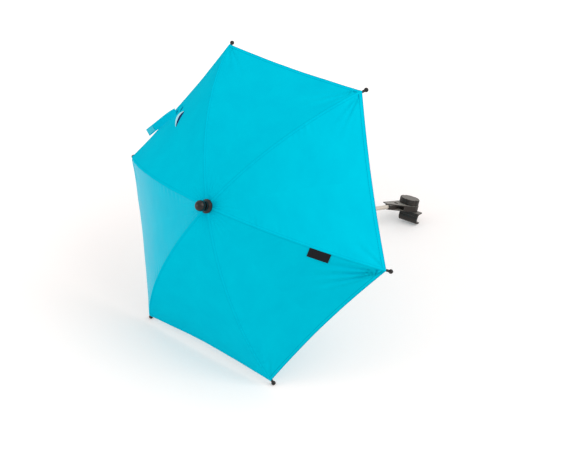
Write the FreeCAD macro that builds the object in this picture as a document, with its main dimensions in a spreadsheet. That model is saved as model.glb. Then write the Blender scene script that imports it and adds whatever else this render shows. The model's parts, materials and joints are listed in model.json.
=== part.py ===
import FreeCAD, Part
import math
import os
import re

import Sketcher
from FreeCAD import Placement, Rotation, Vector

# A pram parasol lying on the floor on two rib tips and its clamp. The stick frame has its origin at
# the tilt pin, +Z up the upper stick to the crown and +X towards the floor side of the canopy.

RIB_COUNT = 6
RIB_STEP = 360 / RIB_COUNT
FIRST_RIB = RIB_STEP / 2

SIZES = {
    # dome of the canopy, on the centre line of the ribs
    "canopy_radius": 350,  # stick axis to the middle of a tip ball
    "canopy_rise": 141,  # crown above the plane of the tip balls
    # ribs: steel channel, open towards the stick
    "rib_width": 2.8,
    "rib_height": 2.4,
    "rib_wall": 0.5,
    "channel_start": 14,  # radius where the channel begins, outside the notch
    "ear_drop": 5,  # stretcher rivet below the rib centre line
    "ear_radius": 2.4,
    "rivet_diameter": 2,
    "rivet_head_diameter": 3.6,
    "rivet_head_height": 0.5,
    "rivet_clearance": 0.05,
    # flat ends of ribs and stretchers, with an eye for the tie wire
    "eye_radius": 2,
    "blade_thickness": 1.2,
    "blade_height": 2.8,
    "blade_length": 10,
    "blade_clearance": 0.35,
    "wire_diameter": 1.2,
    "wire_clearance": 0.15,
    # stretchers
    "stretcher_reach": 150,  # along the rib, from the crown to the rivet
    "stretcher_length": 150,  # eye to eye
    "stretcher_diameter": 2.8,
    # rib tips
    "tip_ball_diameter": 9,
    "tip_stem_diameter": 5.2,
    "tip_length": 10,  # middle of the ball to the mouth of the stem
    "tip_socket_depth": 6.5,
    # cloth
    "cloth_thickness": 1,
    "cloth_gap": 0.3,
    "cloth_hole_radius": 10.4,
    "seam_width": 3.4,  # level strip over each rib
    "hem_bow": 11,  # hem drawn in at the middle of each panel
    "panel_sag": 6,  # panel hollow between the ribs at the hem
    "tag_length": 42,
    "tag_width": 19,
    "tag_start": 229,  # along the seam from the crown
    "tag_thickness": 0.6,
    "strap_width": 14,
    "strap_thickness": 1,
    "strap_inset": 30,  # root of the strap inside the hem
    "strap_overhang": 38,  # end of the strap beyond the hem
    "strap_from_crease": 14,
    "strap_run": 64,  # along the hem towards the rib
    "strap_lift": 8,
    "patch_length": 21,  # hook tape sewn on the free end of the strap
    "patch_border": 1.5,
    "patch_thickness": 1,
    # stick
    "stick_diameter": 10,
    "stick_wall": 0.8,
    "hub_to_tilt": 405,  # crown to the tilt pin
    "lower_stick_length": 271,  # tilt pin to the fork pin
    "stick_above_hub": 10,
    "fit_clearance": 0.02,  # pressed and glued seats
    # notch at the crown
    "notch_ring_radius": 8,
    "notch_radius": 11.5,
    "notch_above_ring": 1.1,
    "notch_below_ring": 3.5,
    "notch_sleeve_diameter": 13.4,
    "notch_sleeve_length": 12,
    # finial
    "washer_diameter": 24,
    "washer_thickness": 0.8,
    "collar_diameter": 28,
    "collar_edge": 2,
    "collar_height": 6,
    "neck_diameter": 20,
    "finial_ball_diameter": 22,
    "finial_ball_height": 22.8,  # middle of the ball above the crown
    # runner
    "runner_ring_radius": 9.5,
    "runner_radius": 13,
    "runner_above_ring": 1.6,
    "runner_below_ring": 4,
    "runner_sleeve_diameter": 16,
    "runner_sleeve_length": 36,
    "runner_grip_diameter": 19,
    "runner_grip_height": 5,
    "runner_clearance": 0.15,
    # catch under the runner
    "catch_wire_diameter": 1.6,
    "catch_reach": 3,  # nose of the catch out of the tube
    "catch_length": 18,
    # tilt knuckle
    "tilt_angle": 7.7,  # bend of the stick as it lies
    "knuckle_diameter": 18,
    "knuckle_width": 19,  # over the cheeks of the fork
    "knuckle_length": 26,
    "knuckle_slot": 8,
    "knuckle_gap": 0.3,
    "knuckle_socket": 13,
    "tilt_pin_diameter": 5,
    "tilt_pin_clearance": 0.05,
    "tilt_head_diameter": 9,
    "tilt_head_height": 1.6,
    "button_diameter": 9,
    "button_travel": 2,
    "button_stands_out": 3,
    "button_clearance": 0.1,
    "button_pocket": 4.1,
    # foot of the lower stick and fork of the clamp arm
    "foot_width": 14,
    "foot_reach": 33,  # fork pin to the end of the tube
    "spigot_length": 20,
    "fork_pin_diameter": 6,
    "fork_pin_clearance": 0.05,
    "fork_head_diameter": 9.6,
    "fork_head_height": 0.6,
    "fork_head_recess": 1.3,
    "fork_gap": 0.15,
    "arm_swing": 17,  # arm turned on the fork pin from the line of the stick
    "arm_thickness": 14.4,
    "arm_plate": 2,
    "arm_mouth": 34,  # fork pin to the mouth of the fork
    "arm_fork_width": 15,
    "arm_slot_end": 12,  # fork pin to the bottom of the slot
    "arm_length": 39,  # fork pin to the clamp screw
    "arm_end_radius": 24,
    "arm_rounding": 1.2,
    # jaw: a hook that a pram tube slides into
    "tube_radius": 10,
    "jaw_wall": 3.5,
    "jaw_length": 46,
    "jaw_offset": 10,  # clamp screw to the middle of the jaw, along the tube
    "jaw_turn": 13,  # jaw turned on the clamp screw from the line of the stick
    "jaw_upper_lip": 14,
    "jaw_lower_lip": 9,
    "jaw_gap": 0.3,
    "boss_diameter": 20,
    "boss_above_arm": 2.4,
    "boss_clearance": 0.15,
    "retainer_diameter": 25,
    "retainer_thickness": 1,
    "retainer_groove": 0.8,
    # clamp screw, plunger and knob
    "screw_diameter": 6,
    "screw_clearance": 0.05,
    "insert_diameter": 10,
    "insert_length": 9,
    "plunger_diameter": 12,
    "plunger_clearance": 0.1,
    "plunger_length": 6,
    "plunger_travel": 3,
    "plunger_socket": 2,
    "pad_thickness": 1.5,
    "knob_diameter": 46,
    "knob_height": 13.5,
    "knob_gap": 0.5,
    "knob_cavity_diameter": 29,
    "knob_cavity_depth": 3.2,
    "knob_screw_depth": 8,
    "flute_diameter": 15,
    "flute_depth": 1.6,
    "knob_rounding": 1.6,
}
FLUTES = 6

DOME = "((canopy_radius ^ 2 + canopy_rise ^ 2) / (2 * canopy_rise))"
ALIAS = re.compile(r"[a-z]+(?:_[a-z]+)+")
UP = Vector(0, 0, 1)
ACROSS = Vector(0, 1, 0)

doc = FreeCAD.newDocument("PramParasol")
sheet = doc.addObject("Spreadsheet::Sheet", "Sizes")
nodes = []


def fill_sheet():
    for row, (alias, number) in enumerate(SIZES.items(), 1):
        sheet.set(f"A{row}", alias)
        sheet.set(f"B{row}", str(number))
        sheet.setAlias(f"B{row}", alias)
    doc.recompute()


def size(alias):
    return float(sheet.get(alias))


def formula(text):
    return ALIAS.sub(lambda word: "Sizes." + word.group(0), text)


def bind(thing, **formulas):
    for name, text in formulas.items():
        thing.setExpression(name, formula(text))
    return thing


def cylinder(radius, height, base=Vector(), axis=UP):
    piece = bind(doc.addObject("Part::Cylinder", "Round"), Radius=radius, Height=height)
    piece.Placement = Placement(base, Rotation(UP, axis))
    return piece


def pin(radius, width, base=Vector()):
    """A cylinder across the meridian plane, centred on its base."""
    piece = cylinder(radius, width, base, ACROSS)
    bind(piece, **{"Placement.Base.y": f"{base.y} - ({width}) / 2"})
    return piece


def plate(length, width, height, base=Vector()):
    """A box whose width is centred on its base."""
    piece = bind(doc.addObject("Part::Box", "Plate"), Length=length, Width=width, Height=height)
    piece.Placement = Placement(base, Rotation())
    bind(piece, **{"Placement.Base.y": f"{base.y} - ({width}) / 2"})
    return piece


def ball(radius, base=Vector()):
    piece = bind(doc.addObject("Part::Sphere", "Ball"), Radius=radius)
    piece.Placement = Placement(base, Rotation())
    return piece


def ring(radius, wire_radius, base=Vector()):
    piece = bind(doc.addObject("Part::Torus", "Ring"), Radius1=radius, Radius2=wire_radius)
    piece.Placement = Placement(base, Rotation())
    return piece


def fuse(*pieces):
    joined = doc.addObject("Part::MultiFuse", "Joined")
    joined.Shapes = list(pieces)
    joined.Refine = True
    return joined


def cut(base, *tools):
    left = doc.addObject("Part::Cut", "Cut")
    left.Base = base
    left.Tool = tools[0] if len(tools) == 1 else fuse(*tools)
    return left


def node(label, piece, frame):
    piece.Label = label
    piece.Placement = frame.multiply(piece.Placement)
    nodes.append(piece)


def solid(shape):
    piece = doc.addObject("Part::Feature", "Form")
    piece.Shape = shape
    return piece


def sketch_on(body, role):
    sketch = body.newObject("Sketcher::SketchObject", "Sketch")
    plane = next(item for item in body.Origin.OriginFeatures if item.Role == role)
    sketch.AttachmentSupport = (plane, [""])
    sketch.MapMode = "FlatFace"
    return sketch


def hold(sketch, kind, text, *where):
    number = sketch.addConstraint(Sketcher.Constraint(kind, *where, 1.0))
    sketch.setExpression(f"Constraints[{number}]", formula(text))


def outline(body, role, corners):
    """A closed outline whose corners are held at formulas of the sheet."""
    sketch = sketch_on(body, role)
    count = len(corners)
    turns = [i * math.tau / count for i in range(count)]
    spots = [Vector(20 + math.cos(turn), math.sin(turn), 0) for turn in turns]
    for i in range(count):
        sketch.addGeometry(Part.LineSegment(spots[i], spots[(i + 1) % count]))
    for i in range(count):
        sketch.addConstraint(Sketcher.Constraint("Coincident", i, 2, (i + 1) % count, 1))
    for i, (across, along) in enumerate(corners):
        hold(sketch, "DistanceX", across, -1, 1, i, 1)
        hold(sketch, "DistanceY", along, -1, 1, i, 1)
    return sketch


def turned_body(corners):
    """A body of revolution about Z from an outline of radius and height."""
    body = doc.addObject("PartDesign::Body", "Turned")
    sketch = outline(body, "XZ_Plane", corners)
    turn = body.newObject("PartDesign::Revolution", "Turn")
    turn.Profile = sketch
    turn.ReferenceAxis = (sketch, ["V_Axis"])
    turn.Angle = 360
    body.Tip = turn
    return body


def tube(outer, inner, length, base=Vector()):
    return cut(cylinder(outer, length, base), cylinder(inner, length, base))


def cone(lower, upper, height, base=Vector()):
    piece = bind(doc.addObject("Part::Cone", "Taper"), Radius1=lower, Radius2=upper, Height=height)
    piece.Placement = Placement(base, Rotation())
    return piece


def rounded(piece, radius):
    """Every edge of a piece rounded."""
    doc.recompute()
    soft = doc.addObject("Part::Fillet", "Rounded")
    soft.Base = piece
    soft.Edges = [(i + 1, radius, radius) for i in range(len(piece.Shape.Edges))]
    return soft


def moved(piece, frame):
    piece.Placement = frame.multiply(piece.Placement)
    return piece


# dome, ribs and stretchers, in the meridian plane of one rib

def dome_radius():
    return (size("canopy_radius") ** 2 + size("canopy_rise") ** 2) / (2 * size("canopy_rise"))


def dome_centre():
    return size("hub_to_tilt") - dome_radius()


def on_dome(arc, lift=0.0):
    """A point at an arc length from the crown, lifted off the centre line of the rib."""
    turn = arc / dome_radius()
    reach = dome_radius() + lift
    return Vector(reach * math.sin(turn), 0, dome_centre() + reach * math.cos(turn))


def dome_frame(arc):
    """X along the rib away from the crown and Z out of the dome."""
    return Placement(on_dome(arc), Rotation(ACROSS, math.degrees(arc / dome_radius())))


def arc_at(radius):
    return dome_radius() * math.asin(radius / dome_radius())


def tip_arc():
    return arc_at(size("canopy_radius"))


def rib_hinge():
    return on_dome(arc_at(size("notch_ring_radius")))


def rivet_point():
    return dome_frame(size("stretcher_reach")).multVec(Vector(0, 0, -size("ear_drop")))


def runner_ring_height():
    reach = rivet_point().x - size("runner_ring_radius")
    return rivet_point().z - math.sqrt(size("stretcher_length") ** 2 - reach ** 2)


def stretcher_frame():
    """X from the rivet to the eye on the runner's ring."""
    way = Vector(size("runner_ring_radius"), 0, runner_ring_height()) - rivet_point()
    return Placement(rivet_point(), Rotation(ACROSS, math.degrees(math.atan2(-way.z, way.x))))


def sector(radius, width, start, end):
    """A slice of a disc about the middle of the dome, between two arc lengths."""
    piece = cylinder(radius, width)
    piece.Angle = math.degrees((end - start) / dome_radius())
    to_meridian = Rotation(Vector(1, 1, 1), -120)
    lean = Rotation(ACROSS, math.degrees(start / dome_radius()))
    piece.Placement = Placement(Vector(0, 0, dome_centre()), lean * to_meridian)
    return bind(piece, **{"Placement.Base.y": f"-({width}) / 2"})


def rib(label, frame):
    start = arc_at(size("channel_start"))
    end = tip_arc() - size("tip_length") + size("tip_socket_depth") - size("cloth_gap")
    spare = size("rib_height")
    bar = cut(
        sector(f"{DOME} + rib_height / 2", "rib_width", start, end),
        sector(f"{DOME} - rib_height / 2", "rib_width * 2", start - spare, end + spare),
    )
    inside = "rib_width - 2 * rib_wall"
    groove = sector(f"{DOME} + rib_height / 2 - rib_wall", inside, start - spare, end + spare)
    hinge = rib_hinge()
    under_web = size("rib_height") / 2 - size("rib_wall")
    blade_base = hinge + Vector(0, 0, under_web - size("blade_height"))
    blade = plate(
        "channel_start + blade_length / 2 - notch_ring_radius", "blade_thickness", "blade_height", blade_base
    )
    eye = pin("eye_radius", "blade_thickness", hinge)
    seat = dome_frame(size("stretcher_reach"))
    drop = Vector(0, 0, -size("ear_drop"))
    half = size("ear_radius")
    ears = fuse(
        plate("2 * ear_radius", "rib_width", "ear_drop", drop - Vector(half, 0, 0)),
        pin("ear_radius", "rib_width", drop),
    )
    between = plate(
        "4 * ear_radius",
        inside,
        "ear_drop + 2 * ear_radius + rib_height / 2 - 1.2 * rib_wall",
        drop - Vector(2 * half, 0, 2 * half),
    )
    ears = moved(cut(ears, between, pin("rivet_diameter / 2 + fit_clearance", "2 * rib_width", drop)), seat)
    wire_hole = pin("wire_diameter / 2 + wire_clearance", "2 * blade_thickness", hinge)
    node(label, cut(fuse(cut(bar, groove), blade, eye, ears), wire_hole), frame)


def rib_rivet(label, frame):
    drop = -size("ear_drop")
    side = size("rib_width") / 2
    head = ("rivet_head_diameter / 2", "rivet_head_height")
    rivet = fuse(
        pin("rivet_diameter / 2", "rib_width + rivet_head_height", Vector(0, 0, drop)),
        cylinder(*head, Vector(0, side, drop), ACROSS),
        cylinder(*head, Vector(0, -side - size("rivet_head_height"), drop), ACROSS),
    )
    node(label, rivet, frame.multiply(dome_frame(size("stretcher_reach"))))


def rib_tip(label, frame):
    """Moulded ball and stem, pushed on the end of the rib; the frame is the middle of its socket."""
    mouth = Vector(-size("tip_socket_depth") / 2, 0, 0)
    stem = cylinder("tip_stem_diameter / 2", "tip_length", mouth, Vector(1, 0, 0))
    socket = plate(
        "tip_socket_depth",
        "rib_width + 2 * fit_clearance",
        "rib_height + 2 * fit_clearance",
        mouth - Vector(0, 0, size("rib_height") / 2 + size("fit_clearance")),
    )
    end = mouth + Vector(size("tip_length"), 0, 0)
    tip = cut(fuse(ball("tip_ball_diameter / 2", end), stem), socket)
    node(label, tip, frame.multiply(dome_frame(tip_arc() - end.x)))


def stretcher(label, frame):
    far = Vector(size("stretcher_length"), 0, 0)
    low = Vector(0, 0, -size("blade_height") / 2)
    back = Vector(-size("blade_length"), 0, 0)
    flat = ("blade_length", "blade_thickness", "blade_height")
    rod_start = Vector(0.7 * size("blade_length"), 0, 0)
    rod_length = "stretcher_length - 1.4 * blade_length"
    bar = fuse(
        cylinder("stretcher_diameter / 2", rod_length, rod_start, Vector(1, 0, 0)),
        plate(*flat, low),
        plate(*flat, far + back + low),
        pin("eye_radius", "blade_thickness"),
        pin("eye_radius", "blade_thickness", far),
    )
    rivet_hole = pin("rivet_diameter / 2 + rivet_clearance", "2 * blade_thickness")
    wire_hole = pin("wire_diameter / 2 + wire_clearance", "2 * blade_thickness", far)
    node(label, cut(bar, rivet_hole, wire_hole), frame.multiply(stretcher_frame()))


# cloth of the canopy: one node for the cloth that each rib carries, out to the panel creases

def bulge(share):
    """0 on the seam and 1 on the crease of the panel, level there."""
    return 2 * share - share ** 2


def cloth_top():
    return size("rib_height") / 2 + size("cloth_gap") + size("cloth_thickness")


def hem_arc(share):
    return tip_arc() - size("tip_length") - size("cloth_gap") - size("hem_bow") * bulge(share)


def panel_half(radius):
    """Straight width of a panel from the edge of the seam to its crease."""
    half = math.radians(FIRST_RIB)
    return radius * math.sin(half) - size("seam_width") / 2 * math.cos(half)


def cloth_point(arc, side, share, lift=0.0):
    """A point of the outer face, from the seam (share 0) to the crease (share 1) on one side (-1 or 1)."""
    ridge = on_dome(arc, cloth_top() + lift)
    half = math.radians(FIRST_RIB)
    width = share * panel_half(ridge.x)
    sag = size("panel_sag") * bulge(share) * (ridge.x / size("canopy_radius")) ** 2
    across = size("seam_width") / 2 + width * math.cos(half)
    return Vector(ridge.x - width * math.sin(half), side * across, ridge.z - sag)


def share_at(arc, across):
    width = (across - size("seam_width") / 2) / math.cos(math.radians(FIRST_RIB))
    return width / panel_half(on_dome(arc, cloth_top()).x)


def meridian(side, share):
    """Closed outline of the cloth in the upright plane at one share of the panel."""
    stations = 8
    start = arc_at(size("cloth_hole_radius"))
    step = (hem_arc(share) - start) / stations
    trim = Vector(0, side * size("cloth_gap") / 2, 0) if share == 1 else Vector()
    faces = []
    for lift in (0, -size("cloth_thickness")):
        points = [cloth_point(start + step * i, side, share, lift) - trim for i in range(stations + 1)]
        faces.append(points)
    curves = []
    for points in faces:
        curve = Part.BSplineCurve()
        curve.interpolate(points)
        curves.append(curve.toShape())
    outer, inner = faces
    ends = [Part.makeLine(outer[-1], inner[-1]), Part.makeLine(inner[0], outer[0])]
    return Part.Wire([curves[0], ends[0], curves[1], ends[1]])


def canopy_panel(label, frame):
    shares = [0, 0.25, 0.5, 0.75, 1]
    sections = [meridian(-1, share) for share in shares[::-1]]
    sections += [meridian(1, share) for share in shares]
    node(label, solid(Part.makeLoft(sections, True, True)), frame)


def ribbon(edges, thickness):
    """A thin strip through pairs of edge points, thickened out of the dome."""
    sections = []
    for near, far in edges:
        middle = (near + far) / 2 - Vector(0, 0, dome_centre())
        out = middle.normalize() * thickness
        sections.append(Part.makePolygon([near, far, far + out, near + out, near]))
    return solid(Part.makeLoft(sections, True, False))


def seam_tag(label, frame):
    """A woven flag sewn into the seam, lying on the panel beside it."""
    edges = []
    for i in range(3):
        arc = size("tag_start") + size("tag_length") * i / 2
        far = share_at(arc, size("tag_width"))
        edges.append([cloth_point(arc, -1, share, size("cloth_gap")) for share in (0, far)])
    node(label, ribbon(edges, size("tag_thickness")), frame)


def strap_forward():
    return size("strap_inset") + size("strap_overhang")


def strap_length():
    return math.hypot(strap_forward(), size("strap_run"))


def strap_point(way, side, lift=0.0):
    """A point of the strap's inner face, from its root (way 0) to its free end (way 1)."""
    forward = strap_forward()
    length = strap_length()
    root = hem_arc(1) - size("strap_inset")
    arc = root + forward * way + side * size("strap_run") / length
    root_across = -cloth_point(root, -1, 1).y - size("strap_from_crease")
    across = root_across - size("strap_run") * way + side * forward / length
    rise = size("cloth_gap") + size("strap_lift") * way ** 2 + lift
    return cloth_point(arc, -1, share_at(arc, across), rise)


def closing_strap(label, frame):
    stations = 5
    half = size("strap_width") / 2
    edges = [[strap_point(i / stations, side) for side in (-half, half)] for i in range(stations + 1)]
    node(label, ribbon(edges, size("strap_thickness")), frame)


def strap_patch(label, frame):
    """Hook tape sewn on the outer face at the free end."""
    stations = 2
    half = size("strap_width") / 2 - size("patch_border")
    end = strap_length() - size("patch_border")
    lift = size("strap_thickness") + size("cloth_gap")
    edges = []
    for i in range(stations + 1):
        way = (end - size("patch_length") * (1 - i / stations)) / strap_length()
        edges.append([strap_point(way, side, lift) for side in (-half, half)])
    node(label, ribbon(edges, size("patch_thickness")), frame)


# crown, runner and stick, about the axis of the upper stick

def slotted(body, ring_radius, outer, below, above):
    """Slots for the blades and a round way for the tie wire."""
    floor = size(ring_radius) - size("eye_radius") - size("blade_clearance")
    width = size("blade_thickness") + 2 * size("blade_clearance")
    corner = Placement(Vector(floor, -width / 2, -size(below)), Rotation())
    slots = []
    for i in range(RIB_COUNT):
        slot = bind(
            doc.addObject("Part::Box", "Slot"),
            Length=f"{outer} - {ring_radius} + 2 * eye_radius",
            Width="blade_thickness + 2 * blade_clearance",
            Height=f"{below} + {above}",
        )
        slot.Placement = spoke(i).multiply(corner)
        slots.append(slot)
    return cut(body, *slots, ring(ring_radius, "wire_diameter / 2 + fit_clearance"))


def spoke(i):
    return Placement(Vector(), Rotation(UP, FIRST_RIB + RIB_STEP * i))


def at_height(height):
    return Placement(Vector(0, 0, height), Rotation())


def top_notch(label, frame):
    bore = "stick_diameter / 2 + fit_clearance"
    foot = "-notch_below_ring - notch_sleeve_length"
    body = turned_body([
        (bore, "notch_above_ring"),
        ("notch_radius", "notch_above_ring"),
        ("notch_radius", "-notch_below_ring"),
        ("notch_sleeve_diameter / 2", "-notch_below_ring"),
        ("notch_sleeve_diameter / 2", foot),
        (bore, foot),
    ])
    crown = slotted(body, "notch_ring_radius", "notch_radius", "notch_below_ring", "notch_above_ring")
    node(label, crown, frame.multiply(at_height(rib_hinge().z)))


def runner(label, frame):
    bore = "stick_diameter / 2 + runner_clearance"
    foot = "-runner_below_ring - runner_sleeve_length"
    body = turned_body([
        (bore, "runner_above_ring"),
        ("runner_radius", "runner_above_ring"),
        ("runner_radius", "-runner_below_ring"),
        ("runner_sleeve_diameter / 2", "-runner_below_ring"),
        ("runner_sleeve_diameter / 2", f"{foot} + runner_grip_height"),
        ("runner_grip_diameter / 2", f"{foot} + runner_grip_height"),
        ("runner_grip_diameter / 2", foot),
        (bore, foot),
    ])
    crown = slotted(body, "runner_ring_radius", "runner_radius", "runner_below_ring", "runner_above_ring")
    node(label, crown, frame.multiply(at_height(runner_ring_height())))


def tie_wire(label, ring_radius, height, frame):
    node(label, ring(ring_radius, "wire_diameter / 2"), frame.multiply(at_height(height)))


def washer_height():
    return size("hub_to_tilt") + cloth_top() + size("cloth_gap")


def canopy_washer(label, frame):
    disc = tube("washer_diameter / 2", "stick_diameter / 2 + fit_clearance", "washer_thickness")
    node(label, disc, frame.multiply(at_height(washer_height())))


def finial(label, frame):
    """Collar, neck and ball on the top of the stick."""
    base = washer_height() + size("washer_thickness")
    ball_middle = size("hub_to_tilt") + size("finial_ball_height") - base
    bore_depth = size("hub_to_tilt") + size("stick_above_hub") + size("cloth_gap") - base
    bore = cylinder("stick_diameter / 2 + fit_clearance", "stick_above_hub")
    bore.Placement = at_height(bore_depth - size("stick_above_hub"))
    edge = Vector(0, 0, size("collar_edge"))
    body = fuse(
        cylinder("collar_diameter / 2", "collar_edge"),
        cone("collar_diameter / 2", "neck_diameter / 2", "collar_height - collar_edge", edge),
        cylinder("neck_diameter / 2", "finial_ball_height / 2"),
        ball("finial_ball_diameter / 2", Vector(0, 0, ball_middle)),
    )
    node(label, cut(body, bore), frame.multiply(at_height(base)))


def catch_top():
    below = size("runner_below_ring") + size("runner_sleeve_length") + size("cloth_gap")
    return runner_ring_height() - below


def upper_stick(label, frame):
    foot = Vector(0, 0, size("knuckle_length") - size("knuckle_socket"))
    length = "hub_to_tilt + stick_above_hub - knuckle_length + knuckle_socket"
    body = tube("stick_diameter / 2", "stick_diameter / 2 - stick_wall", length, foot)
    window = plate(
        "stick_diameter",
        "catch_wire_diameter + 2 * cloth_gap",
        "catch_length + 2 * cloth_gap",
        Vector(0, 0, catch_top() - size("catch_length") - size("cloth_gap")),
    )
    node(label, cut(body, window), frame)


def catch_spring(label, frame):
    """Spring steel nose that holds the runner up, from inside the tube."""
    body = doc.addObject("PartDesign::Body", "Catch")
    sketch = outline(body, "XZ_Plane", [
        ("stick_diameter / 2 - 2 * catch_wire_diameter", "0"),
        ("stick_diameter / 2 + catch_reach", "0"),
        ("stick_diameter / 2 + catch_reach", "-catch_wire_diameter"),
        ("stick_diameter / 2 - stick_wall", "-catch_length"),
        ("stick_diameter / 2 - 2 * catch_wire_diameter", "-catch_length"),
    ])
    pad = body.newObject("PartDesign::Pad", "Nose")
    pad.Profile = sketch
    bind(pad, Length="catch_wire_diameter")
    body.Tip = pad
    side = Vector(0, size("catch_wire_diameter") / 2, catch_top())
    node(label, body, frame.multiply(Placement(side, Rotation())))


# tilt knuckle, about the tilt pin

def knuckle_fork(label, frame):
    top_of_slot = size("knuckle_diameter") / 2 + size("knuckle_gap")
    wide = size("knuckle_diameter")
    slot = plate(
        "2 * knuckle_diameter",
        "knuckle_slot",
        "1.5 * knuckle_diameter + knuckle_gap",
        Vector(-wide, 0, top_of_slot - 1.5 * wide - size("knuckle_gap")),
    )
    socket_floor = Vector(0, 0, size("knuckle_length") - size("knuckle_socket"))
    pocket_floor = Vector(0, size("knuckle_width") / 2 - size("button_pocket"), 0)
    body = fuse(
        cylinder("knuckle_diameter / 2", "knuckle_length"),
        pin("knuckle_diameter / 2", "knuckle_width"),
    )
    fork = cut(
        body,
        slot,
        pin("tilt_pin_diameter / 2 + fit_clearance", "2 * knuckle_diameter"),
        cylinder("stick_diameter / 2 + fit_clearance", "knuckle_length", socket_floor),
        cylinder("button_diameter / 2 + button_clearance", "knuckle_diameter", pocket_floor, ACROSS),
    )
    node(label, fork, frame)


def knuckle_tongue(label, frame):
    thick = "knuckle_slot - 2 * knuckle_gap"
    wide = size("knuckle_diameter")
    neck = size("knuckle_diameter") / 2 + size("knuckle_gap")
    body = fuse(
        cylinder(
            "knuckle_diameter / 2",
            "knuckle_length - knuckle_diameter / 2 - knuckle_gap",
            Vector(0, 0, -size("knuckle_length")),
        ),
        plate(
            "knuckle_diameter",
            thick,
            "knuckle_diameter / 2 + 2 * knuckle_gap",
            Vector(-wide / 2, 0, -neck - size("knuckle_gap")),
        ),
        pin("knuckle_diameter / 2", thick),
    )
    end = Vector(0, 0, -size("knuckle_length"))
    tongue = cut(
        body,
        pin("tilt_pin_diameter / 2 + tilt_pin_clearance", "2 * knuckle_diameter"),
        cylinder("stick_diameter / 2 + fit_clearance", "knuckle_socket", end),
    )
    node(label, tongue, frame)


def tilt_pin(label, frame):
    side = -size("knuckle_width") / 2
    shaft = cylinder(
        "tilt_pin_diameter / 2",
        "knuckle_width - button_pocket - 2 * fit_clearance",
        Vector(0, side, 0),
        ACROSS,
    )
    head = cylinder(
        "tilt_head_diameter / 2",
        "tilt_head_height",
        Vector(0, side - size("tilt_head_height"), 0),
        ACROSS,
    )
    node(label, fuse(shaft, head), frame)


def tilt_button(label, frame):
    side = size("knuckle_width") / 2
    inner = side - size("button_pocket") + size("button_travel") + size("cloth_gap")
    length = "button_stands_out + button_pocket - button_travel - cloth_gap"
    cap = cylinder("button_diameter / 2", length, Vector(0, inner, 0), ACROSS)
    node(label, cap, frame)


# lower stick and its foot

def lower_stick(label, frame):
    foot = Vector(0, 0, size("foot_reach") - size("lower_stick_length"))
    length = "lower_stick_length - foot_reach - knuckle_length + knuckle_socket"
    node(label, tube("stick_diameter / 2", "stick_diameter / 2 - stick_wall", length, foot), frame)


def stick_foot(label, frame):
    """Flat end of the stick in the fork; Y of its frame is the axis of the fork pin."""
    thick = "arm_thickness - 2 * arm_plate - 2 * fork_gap"
    body = fuse(
        pin("foot_width / 2", thick),
        plate("foot_width", thick, "foot_reach", Vector(-size("foot_width") / 2, 0, 0)),
        cylinder("stick_diameter / 2 - stick_wall - fit_clearance", "foot_reach + spigot_length"),
    )
    hole = pin("fork_pin_diameter / 2 + fork_pin_clearance", "arm_thickness")
    node(label, cut(body, hole), frame)


# clamp arm, about the fork pin; X runs to the clamp screw and Z to the knob

def arm_outline(body):
    sketch = sketch_on(body, "XY_Plane")
    bind(sketch, **{"AttachmentOffset.Base.z": "-arm_thickness / 2"})
    mouth = -size("arm_mouth")
    half = size("arm_fork_width") / 2
    centre = Vector(size("arm_length"), 0, 0)
    radius = size("arm_end_radius")
    side = Vector(0, radius, 0)
    corner = Vector(mouth, half, 0)
    opposite = Vector(mouth, -half, 0)
    sketch.addGeometry(Part.LineSegment(opposite, corner))
    sketch.addGeometry(Part.LineSegment(corner, centre + side))
    round_end = Part.Circle(centre, UP, radius)
    sketch.addGeometry(Part.ArcOfCircle(round_end, -math.pi / 2, math.pi / 2))
    sketch.addGeometry(Part.LineSegment(centre - side, opposite))
    sketch.addConstraint(Sketcher.Constraint("Coincident", 0, 2, 1, 1))
    sketch.addConstraint(Sketcher.Constraint("Coincident", 3, 2, 0, 1))
    sketch.addConstraint(Sketcher.Constraint("Tangent", 1, 2, 2, 2))
    sketch.addConstraint(Sketcher.Constraint("Tangent", 3, 1, 2, 1))
    sketch.addConstraint(Sketcher.Constraint("PointOnObject", 2, 3, -1))
    hold(sketch, "DistanceX", "arm_length", -1, 1, 2, 3)
    hold(sketch, "Radius", "arm_end_radius", 2)
    for spot, across in ((1, "-arm_fork_width / 2"), (2, "arm_fork_width / 2")):
        hold(sketch, "DistanceX", "-arm_mouth", -1, 1, 0, spot)
        hold(sketch, "DistanceY", across, -1, 1, 0, spot)
    return sketch


def clamp_arm(label, frame):
    body = doc.addObject("PartDesign::Body", "Arm")
    pad = body.newObject("PartDesign::Pad", "Slab")
    pad.Profile = arm_outline(body)
    bind(pad, Length="arm_thickness")
    soft = body.newObject("PartDesign::Fillet", "Edges")
    soft.Base = (pad, ["Edge1"])
    soft.UseAllEdges = True
    bind(soft, Radius="arm_rounding")
    body.Tip = soft
    top = size("arm_thickness") / 2
    half_slot = top - size("arm_plate")
    slot = plate(
        "2 * arm_mouth + arm_slot_end",
        "4 * arm_end_radius",
        "arm_thickness - 2 * arm_plate",
        Vector(-2 * size("arm_mouth"), 0, -half_slot),
    )
    screw_spot = Vector(size("arm_length"), 0, -top)
    recess = ("fork_head_diameter / 2 + fork_gap", "fork_head_recess")
    arm = cut(
        body,
        slot,
        cylinder("fork_pin_diameter / 2 + fit_clearance", "arm_thickness", Vector(0, 0, -top)),
        cylinder(*recess, Vector(0, 0, top - size("fork_head_recess"))),
        cylinder(*recess, Vector(0, 0, -top)),
        cylinder("boss_diameter / 2 + boss_clearance", "arm_thickness", screw_spot),
    )
    node(label, arm, frame)


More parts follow.
